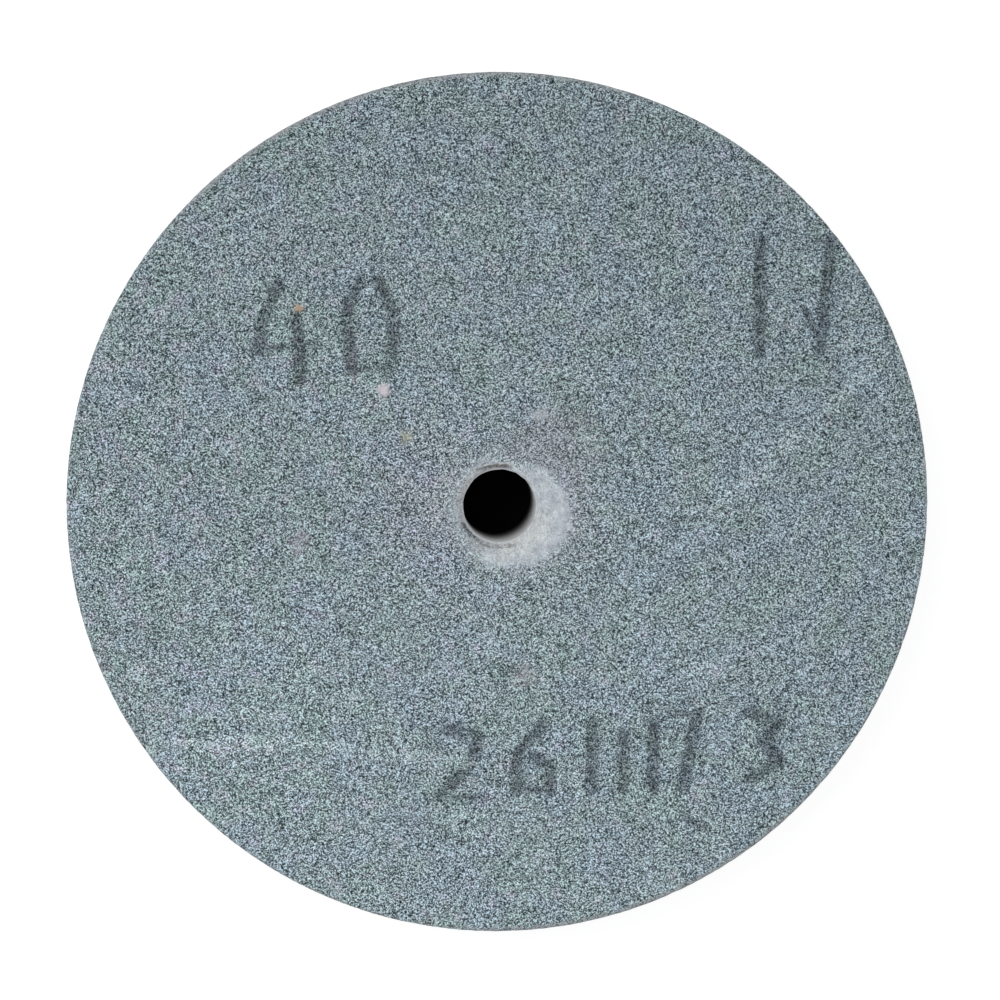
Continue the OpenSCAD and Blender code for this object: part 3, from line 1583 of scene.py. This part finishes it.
@dataclass
class AbrasiveWheel:
    """The fired stone: two flat faces, a plain rim, crumbled edges and a moulded hole.

    Attributes:
        radius: Outside radius.
        thickness: Distance between the faces.
        hole_radius: Radius of the moulded hole.
        spill: Outline of the pocket that holds the spilled paste.
        pocket_depth: Depth of that pocket.
        edge_radius: Radius of the worn edge round each face.
        edge_steps: Straight pieces in that edge.
        steps: Steps of the spin.
        first_ring: Width of the first ring of faces beside an edge.
        face_growth: Growth of the rings over a flat face.
        rim_growth: Growth of the rings over the rim.
        crumble: Depth of the crumbled grain along the edges.
        crumble_reach: How far the crumbling reaches from an edge.
        crumb: Length of the coarse crumbs.
        grit: Length of the fine crumbs.
        grit_share: Depth of the fine crumbs beside the coarse ones.
        seed: Seed of the chips.
        chips: Number of small chips along each edge.
        chip_sizes: Least and most radius of a chip.
        chip_places: Least and most distance of a chip's middle from the edge, as its share.
        rim_unevenness: Height of the unevenness of the rim.
        rim_waves: Length and height of its waves.
        rim_dip: How far it lies below the even rim.
        rim_fade: Distance inside the rim at which it ends.
        dressed: Colour of the lines that dressing left on the rim.
        dressed_lines: Noise values over which those lines come in.
        dressed_reach: Distances from the rim over which they come in.
        dressed_share: How much of that colour shows.
        finish: Finish of the stone.
        specular: Specular level of the stone.
    """

    radius: float
    thickness: float
    hole_radius: float
    spill: SpillOutline
    pocket_depth: float = 0.3
    edge_radius: float = 0.6
    edge_steps: int = 5
    steps: int = 1080
    first_ring: float = 0.4
    face_growth: float = 1.35
    rim_growth: float = 1.08
    crumble: float = 0.15
    crumble_reach: float = 1.9
    crumb: float = 1.3
    grit: float = 0.5
    grit_share: float = 0.55
    seed: int = 11
    chips: int = 16
    chip_sizes: Span = (0.35, 0.75)
    chip_places: Span = (0.25, 0.5)
    rim_unevenness: float = 0.04
    rim_waves: tuple[Wave, ...] = ((2.1, 0.6), (0.8, 0.5))
    rim_dip: float = 0.6
    rim_fade: float = 0.5
    dressed: Colour = paint(170, 178, 182)
    dressed_lines: Span = (0.55, 0.75)
    dressed_reach: Span = (0.6, 0.2)
    dressed_share: float = 0.25
    finish: FiredGrit = field(default_factory=FiredGrit)
    specular: float = 0.35

    def section(self) -> list[Point]:
        """Draws the half section, with its corners close together near the edges.

        Returns:
            Radius and height of each corner.
        """
        inner = self.radius - self.edge_radius
        low = (inner, self.edge_radius)
        high = (inner, self.thickness - self.edge_radius)
        back = graded(inner, self.hole_radius, self.first_ring, self.face_growth)
        rim = graded(self.edge_radius, self.thickness / 2, self.first_ring, self.rim_growth)
        front = graded(inner, self.spill.middle, self.first_ring, self.face_growth)
        floor = self.thickness - self.pocket_depth
        return [
            (self.hole_radius, 0.0),
            *[(r, 0.0) for r in reversed(back)],
            *arc(low, self.edge_radius, -90, 0, self.edge_steps),
            *[(self.radius, z) for z in rim],
            *[(self.radius, self.thickness - z) for z in reversed(rim)],
            *arc(high, self.edge_radius, 0, 90, self.edge_steps),
            *[(r, self.thickness) for r in front],
            (self.spill.middle, self.thickness),
            (self.spill.middle, floor),
            (self.hole_radius, floor),
        ]

    def build(self) -> bpy.types.Object:
        """Spins the stone, cuts its pocket to the spill and wears its edges.

        Returns:
            The finished mesh object.
        """
        piece = spin_section("worn_abrasive_wheel", self.section(), self.steps)
        draw = random.Random(self.seed)
        bites = [self._chip(draw, end) for end in End for _ in range(self.chips)]
        for vertex in piece.data.vertices:
            vertex.co = self._worn(vertex.co / MM, bites) * MM
        smooth(piece)
        return piece

    def _chip(self, draw: random.Random, end: End) -> tuple[Vector, float]:
        """Picks one small chip on an edge.

        Args:
            draw: Source of random numbers.
            end: The face whose edge is chipped.

        Returns:
            Middle and radius of the ball that bites the chip out.
        """
        size = draw.uniform(*self.chip_sizes)
        turn = draw.uniform(0, FULL_TURN)
        out = self.radius + size * draw.uniform(*self.chip_places)
        up = size * draw.uniform(*self.chip_places)
        height = self.thickness + up if end is End.FRONT else -up
        return Vector((out * math.cos(turn), out * math.sin(turn), height)), size

    def _worn(self, point: Vector, bites: list[tuple[Vector, float]]) -> Vector:
        """Moves a point of the new stone to where wear has left it.

        Args:
            point: The point in millimetres.
            bites: Middle and radius of each chip.

        Returns:
            The worn point.
        """
        reach = math.hypot(point.x, point.y)
        outward = Vector((point.x / reach, point.y / reach, 0.0))
        if reach < self.radius / 2:
            return self._pulled_to_spill(point, reach, outward)
        upper = point.z > self.thickness / 2
        corner_height = self.thickness if upper else 0.0
        gap = math.hypot(self.radius - reach, corner_height - point.z)
        near = 1 - min(1.0, gap / self.crumble_reach)
        if near > 0:
            inward = (outward + Vector((0, 0, 1 if upper else -1))).normalized()
            coarse = max(0.0, noise.noise(point / self.crumb))
            loose = coarse + self.grit_share * abs(noise.noise(point / self.grit))
            point = point - inward * (loose * near * self.crumble)
            for middle, size in bites:
                away = point - middle
                if away.length < size:
                    point = middle + away.normalized() * size
        on_rim = eased(reach, self.radius - self.rim_fade, self.radius)
        dip = unevenness(point, self.rim_waves) - self.rim_dip
        return point + outward * (dip * self.rim_unevenness * on_rim)

    def _pulled_to_spill(self, point: Vector, reach: float, outward: Vector) -> Vector:
        """Pulls the rings round the pocket to the outline of the spill.

        Args:
            point: The point in millimetres.
            reach: Its distance from the bore's axis.
            outward: Direction away from the axis.

        Returns:
            The moved point.
        """
        on_hole = reach < self.hole_radius + self.first_ring
        if on_hole or point.z < self.thickness - 2 * self.pocket_depth:
            return point
        shift = self.spill.at(math.atan2(point.y, point.x)) - self.spill.middle
        fade = eased(reach, self.radius / 2, self.spill.middle)
        return point + outward * (shift * fade)

    def dress(self, piece: bpy.types.Object, bush: CastBush) -> None:
        """Gives the stone its fired grit, with the face's marks and the smear of paste.

        Args:
            piece: The stone.
            bush: The bush whose paste is smeared over the face.
        """
        bench = Bench("fired_green_grit")
        skin = self.finish.skin(bench)
        on_rim = (self.radius - bench.reach).eased(*self.dressed_reach)
        lines = bench.noise(DRESSED).eased(*self.dressed_lines) * on_rim * self.dressed_share
        skin = skin.recoloured(bench.layer(skin.colour, self.dressed, lines))
        skin = FrontFace(self.radius, self.thickness).lay(bench, skin, self.finish)
        skin = bush.smear(bench, skin, self.finish)
        piece.data.materials.clear()
        piece.data.materials.append(skin.finish(bench, self.specular))


@dataclass
class CastBush:
    """The bush of pale paste: its bore, rounded front lip, wiped spill and plain back end.

    Attributes:
        bore_radius: Radius of the bore.
        thickness: Its length, which is the wheel's thickness.
        wall: Its wall between the bore and the stone.
        spill_margin: Least width of the spill outside the wall.
        lip_radius: Radius of the rounded lip at the front mouth.
        lip_steps: Straight pieces in that lip.
        back_chamfer: Leg of the chamfer at the back mouth.
        first_ring: Height of the first ring of faces below the lip.
        wall_growth: Growth of the rings down the bore.
        spill_rings: Rings of faces over the spill.
        pocket_depth: Depth of the spilled paste below the front face.
        skirt: How far the thin edge of the spill creeps over the stone.
        skirt_depths: Depths of that edge's outer and inner corner.
        rise: Height of the spill above the face.
        rise_waves: Length and height of its waves.
        rise_skirt: Share of the skirt over which the paste rises.
        rise_fade: Distance inside the skirt over which it reaches its height.
        lip_unevenness: Unevenness of the lip.
        lip_waves: Length and height of its waves.
        lip_fade: Distance from the bore at which it ends, in lip radii.
        bore_waves: Length and height of the waves inside the bore.
        crevice: Angles in degrees between which the lip has a crevice.
        crevice_reach: Distance of the crevice from the axis.
        crevice_widths: Distances from its middle over which the crevice sinks.
        crevice_depth: Depth of the crevice.
        steps: Steps of the spin.
        specular: Specular level of the paste.
        outer_radius: Radius at which the bush meets the stone.
        spill: Outline of the spilled paste.
    """

    bore_radius: float
    thickness: float
    wall: float = 1.65
    spill_margin: float = 0.7
    lip_radius: float = 0.8
    lip_steps: int = 9
    back_chamfer: float = 0.5
    first_ring: float = 0.35
    wall_growth: float = 1.12
    spill_rings: int = 12
    pocket_depth: float = 0.3
    skirt: float = 0.35
    skirt_depths: Span = (0.06, 0.12)
    rise: float = 0.03
    rise_waves: tuple[Wave, ...] = ((1.9, 1.0), (0.7, 0.4))
    rise_skirt: float = 0.6
    rise_fade: float = 0.4
    lip_unevenness: float = 0.084
    lip_waves: tuple[Wave, ...] = ((1.6, 1.0), (0.6, 0.5))
    lip_fade: float = 2.2
    bore_waves: tuple[Wave, ...] = ((2.5, 0.02),)
    crevice: Span = (211.0, 231.0)
    crevice_reach: float = 7.05
    crevice_widths: Span = (0.42, 0.1)
    crevice_depth: float = 0.5
    steps: int = 480
    specular: float = 0.3
    outer_radius: float = field(init=False)
    spill: SpillOutline = field(init=False)

    def __post_init__(self) -> None:
        """Works out where the bush meets the stone and how far its paste spilled."""
        self.outer_radius = self.bore_radius + self.wall
        self.spill = SpillOutline(least=self.outer_radius + self.spill_margin)

    def section(self) -> list[Point]:
        """Draws the half section of the bush and its spill.

        Returns:
            Radius and height of each corner.
        """
        top = self.thickness
        lip_end = self.bore_radius + self.lip_radius
        back_end = self.bore_radius + self.back_chamfer
        wall = graded(top - self.lip_radius, self.back_chamfer, self.first_ring, self.wall_growth)
        width = (self.spill.middle - lip_end) / self.spill_rings
        rings = [lip_end + width * step for step in range(1, self.spill_rings + 1)]
        outer_depth, inner_depth = self.skirt_depths
        return [
            (self.outer_radius, 0.0),
            ((self.outer_radius + back_end) / 2, 0.0),
            (back_end, 0.0),
            (self.bore_radius, self.back_chamfer),
            *[(self.bore_radius, z) for z in reversed(wall)],
            *arc((lip_end, top - self.lip_radius), self.lip_radius, 180, 90, self.lip_steps),
            *[(r, top) for r in rings],
            (self.spill.middle + self.skirt / 2, top),
            (self.spill.middle + self.skirt, top - outer_depth),
            (self.spill.middle, top - inner_depth),
            (self.spill.middle, top - self.pocket_depth),
            (self.outer_radius, top - self.pocket_depth),
        ]

    def build(self) -> bpy.types.Object:
        """Spins the bush and gives its paste the unevenness of handwork.

        Returns:
            The finished mesh object.
        """
        piece = spin_section("wiped_cast_bush", self.section(), self.steps)
        for vertex in piece.data.vertices:
            vertex.co = self._worked(vertex.co / MM) * MM
        smooth(piece)
        return piece

    def _worked(self, point: Vector) -> Vector:
        """Moves a point of the even bush to where the trowel and the spindle left it.

        Args:
            point: The point in millimetres.

        Returns:
            The moved point.
        """
        reach = math.hypot(point.x, point.y)
        turn = math.atan2(point.y, point.x)
        outward = Vector((math.cos(turn), math.sin(turn), 0.0))
        lip_end = self.bore_radius + self.lip_radius
        if point.z < self.thickness - 2 * self.lip_radius:
            in_wall = eased(reach, self.outer_radius, self.bore_radius)
            return point + outward * (unevenness(point, self.bore_waves) * in_wall)
        shift = self.spill.at(turn) - self.spill.middle
        moved = point + outward * (shift * eased(reach, lip_end, self.spill.middle))
        floor_begin = self.thickness - (max(self.skirt_depths) + self.pocket_depth) / 2
        if point.z < floor_begin and reach > lip_end:
            return moved
        on_lip = eased(reach, self.bore_radius + self.lip_fade * self.lip_radius, lip_end)
        wave = unevenness(moved, self.lip_waves)
        moved = moved + outward * (wave * self.lip_unevenness * on_lip)
        risen = self.spill.middle - self.rise_fade
        inside = eased(reach, self.spill.middle + self.skirt * self.rise_skirt, risen)
        hump = self.rise * (1 + unevenness(moved, self.rise_waves))
        moved.z += hump * inside * eased(reach, self.bore_radius, lip_end)
        return self._opened(moved)

    def _opened(self, point: Vector) -> Vector:
        """Sinks a point that lies in the crevice of the lip.

        Args:
            point: The point in millimetres.

        Returns:
            The point, sunk or as it was.
        """
        turn = math.degrees(math.atan2(point.y, point.x)) % 360
        low, high = self.crevice
        held = math.radians(min(high, max(low, turn)))
        middle = Vector((math.cos(held), math.sin(held), 0.0)) * self.crevice_reach
        away = (Vector((point.x, point.y, 0.0)) - middle).length
        depth = eased(away, *self.crevice_widths) * self.crevice_depth
        return point - Vector((0.0, 0.0, depth))

    def smear(self, bench: Bench, stone: Skin, grit: FiredGrit) -> Skin:
        """Lays the bush's paste over a stone skin.

        Args:
            bench: The bench.
            stone: Skin of the bare stone.
            grit: Finish of the stone, whose grains show through thin paste.

        Returns:
            Skin of stone and paste together.
        """
        crevice_turn = sum(self.crevice) / 2
        paste = SetPaste(self.bore_radius, self.thickness, self.crevice_reach, crevice_turn)
        smear = PasteSmear(self.spill, self.thickness, self.outer_radius, self.crevice_reach)
        return smear.lay(bench, stone, paste.skin(bench), bench.grains(grit.grains_per_mm))

    def dress(self, piece: bpy.types.Object, grit: FiredGrit) -> None:
        """Gives the bush its paste, through which grit shows at the edge of the spill.

        Args:
            piece: The bush.
            grit: Finish of the stone round it.
        """
        bench = Bench("set_bush_paste")
        skin = self.smear(bench, grit.skin(bench), grit)
        piece.data.materials.clear()
        piece.data.materials.append(skin.finish(bench, self.specular))


@dataclass
class Studio:
    """Pale floor, one soft lamp, an even sky and the camera above the wheel.

    Attributes:
        front: Height of the wheel's front face.
        aim: Point of that face that the camera looks at.
        camera_distance: Distance of the camera from the face.
        camera_tilt: Angle between the camera's axis and the bore, in degrees.
        camera_side: Direction in which the camera leans off the axis, on the face.
        lens: Focal length of the camera.
        near_limit: Distance from which the camera sees anything.
        floor_drop: Gap between the wheel and the floor.
        floor_side: Side of the square floor.
        floor_tone: Colour of the floor where it takes light.
        pad_radius: Radius of the dark disc under the bore.
        pad_sides: Sides of that disc.
        pad_tone: Its colour.
        sky_tone: Colour of the sky and of its light.
        sky_light: Strength of the even light from all round.
        key_power: Power of the lamp in watts.
        key_side: Direction of the lamp from the wheel.
        key_distance: Distance of the lamp.
        key_size: Side of the square lamp.
        white_share: How much of the floor's own white the camera sees.
        white: Strength of that white.
    """

    front: float
    aim: Point = (0.035, 1.048)
    camera_distance: float = 530.0
    camera_tilt: float = 4.95
    camera_side: Point = (-0.53, 0.848)
    lens: float = 109.76
    near_limit: float = 10.0
    floor_drop: float = 0.1
    floor_side: float = 20000.0
    floor_tone: Colour = (0.9, 0.9, 0.9)
    pad_radius: float = 30.0
    pad_sides: int = 64
    pad_tone: Colour = (0.004, 0.004, 0.004)
    sky_tone: Colour = (1.0, 1.0, 1.0)
    sky_light: float = 0.62
    key_power: float = 3.4
    key_side: tuple[float, float, float] = (-0.45, 0.35, 1.0)
    key_distance: float = 900.0
    key_size: float = 500.0
    white_share: float = 0.74
    white: float = 1.165

    @property
    def focus(self) -> Vector:
        """Point that the camera looks at, in metres."""
        return Vector((*self.aim, self.front)) * MM

    def build(self) -> None:
        """Makes all that stands round the wheel."""
        self._floor()
        self._dark_pad()
        self._sky()
        self._key_lamp()
        self._camera()

    def _floor(self) -> None:
        """Lays the pale floor, which keeps a soft shadow and looks white to the camera."""
        clear_selection()
        bpy.ops.mesh.primitive_plane_add(
            size=self.floor_side * MM,
            location=(0, 0, -self.floor_drop * MM),
        )
        floor = bpy.context.object
        floor.name = "pale_floor"
        material = bpy.data.materials.new("pale_floor")
        material.use_nodes = True
        table = NodeTable(material.node_tree)
        path = table.node("ShaderNodeLightPath", {}, {})
        glossy = Flow(table, path.outputs["Is Glossy Ray"])
        looked_at = Flow(table, path.outputs["Is Camera Ray"]).most(glossy)
        matt = table.node("ShaderNodeBsdfDiffuse", {}, {"Color": (*self.floor_tone, 1.0)})
        white = table.node("ShaderNodeEmission", {}, {"Strength": self.white})
        mixed = table.node(
            "ShaderNodeMixShader",
            {},
            {0: looked_at * self.white_share, 1: matt.outputs[0], 2: white.outputs[0]},
        )
        table.node("ShaderNodeOutputMaterial", {}, {"Surface": mixed.outputs[0]})
        floor.data.materials.append(material)

    def _dark_pad(self) -> None:
        """Lays a dark disc under the bore, which the wheel hides all round."""
        clear_selection()
        bpy.ops.mesh.primitive_circle_add(
            vertices=self.pad_sides,
            radius=self.pad_radius * MM,
            fill_type="NGON",
            location=(0, 0, -self.floor_drop * MM / 2),
        )
        pad = bpy.context.object
        pad.name = "dark_pad"
        material = bpy.data.materials.new("dark_pad")
        material.use_nodes = True
        table = NodeTable(material.node_tree)
        shader = table.node(
            "ShaderNodeBsdfPrincipled",
            {},
            {"Base Color": (*self.pad_tone, 1.0), "Roughness": 1.0, "Specular IOR Level": 0.0},
        )
        table.node("ShaderNodeOutputMaterial", {}, {"Surface": shader.outputs["BSDF"]})
        pad.data.materials.append(material)

    def _sky(self) -> None:
        """Lights the wheel evenly from all round, and shows white behind it."""
        world = bpy.data.worlds.new("even_sky")
        bpy.context.scene.world = world
        world.use_nodes = True
        table = NodeTable(world.node_tree)
        tone = (*self.sky_tone, 1.0)
        path = table.node("ShaderNodeLightPath", {}, {})
        light = table.node("ShaderNodeBackground", {}, {"Color": tone, "Strength": self.sky_light})
        white = table.node("ShaderNodeBackground", {}, {"Color": tone, "Strength": 1.0})
        mixed = table.node(
            "ShaderNodeMixShader",
            {},
            {0: path.outputs["Is Camera Ray"], 1: light.outputs[0], 2: white.outputs[0]},
        )
        table.node("ShaderNodeOutputWorld", {}, {"Surface": mixed.outputs[0]})

    def _key_lamp(self) -> None:
        """Hangs one large soft lamp up and to the left."""
        direction = Vector(self.key_side).normalized()
        place = self.focus + direction * self.key_distance * MM
        clear_selection()
        bpy.ops.object.light_add(type="AREA", location=place)
        lamp = bpy.context.object
        lamp.name = "key_lamp"
        lamp.data.energy = self.key_power
        lamp.data.size = self.key_size * MM
        lamp.rotation_euler = (-direction).to_track_quat("-Z", "Y").to_euler()

    def _camera(self) -> None:
        """Holds the camera over the face, leaning a little to the upper left."""
        lean = math.sin(math.radians(self.camera_tilt))
        rise = math.cos(math.radians(self.camera_tilt))
        side = Vector(self.camera_side).normalized()
        back = Vector((side.x * lean, side.y * lean, rise))
        place = Vector((0, 0, self.focus.z)) + back * self.camera_distance * MM
        forward = (self.focus - place).normalized()
        right = forward.cross(Vector((0, 1, 0))).normalized()
        upward = right.cross(forward)
        turned = Matrix((right, upward, -forward)).transposed().to_4x4()
        bpy.ops.object.camera_add()
        camera = bpy.context.object
        camera.name = "face_camera"
        camera.data.lens = self.lens
        camera.data.clip_start = self.near_limit * MM
        camera.matrix_world = Matrix.Translation(place) @ turned
        bpy.context.scene.camera = camera


def main() -> None:
    """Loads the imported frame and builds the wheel, its bush and the studio round it."""
    logging.basicConfig(level=logging.INFO, format="%(name)s: %(message)s")
    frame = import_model()
    low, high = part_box("abrasive_wheel")
    radius = (high.x - low.x) / 2 / MM
    thickness = (high.z - low.z) / MM
    bore = next(mount for mount in frame["record"]["mounts"] if mount["name"] == "bore")

    bush = CastBush(bore["dims"]["r_mm"], thickness)
    wheel = AbrasiveWheel(radius, thickness, bush.outer_radius, bush.spill)
    stone = wheel.build()
    paste = bush.build()
    wheel.dress(stone, bush)
    bush.dress(paste, wheel.finish)
    for piece, node, slot in (
        (stone, "abrasive_wheel", "abrasive_stone"),
        (paste, "cast_bush", "cast_paste"),
    ):
        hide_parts(node)
        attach(piece, "root")
        log.info("%s stands for %s: %d faces", piece.name, node, len(piece.data.polygons))

    Studio(front=thickness).build()
    bpy.context.scene.view_settings.view_transform = "Standard"


if __name__ == "__main__":
    main()
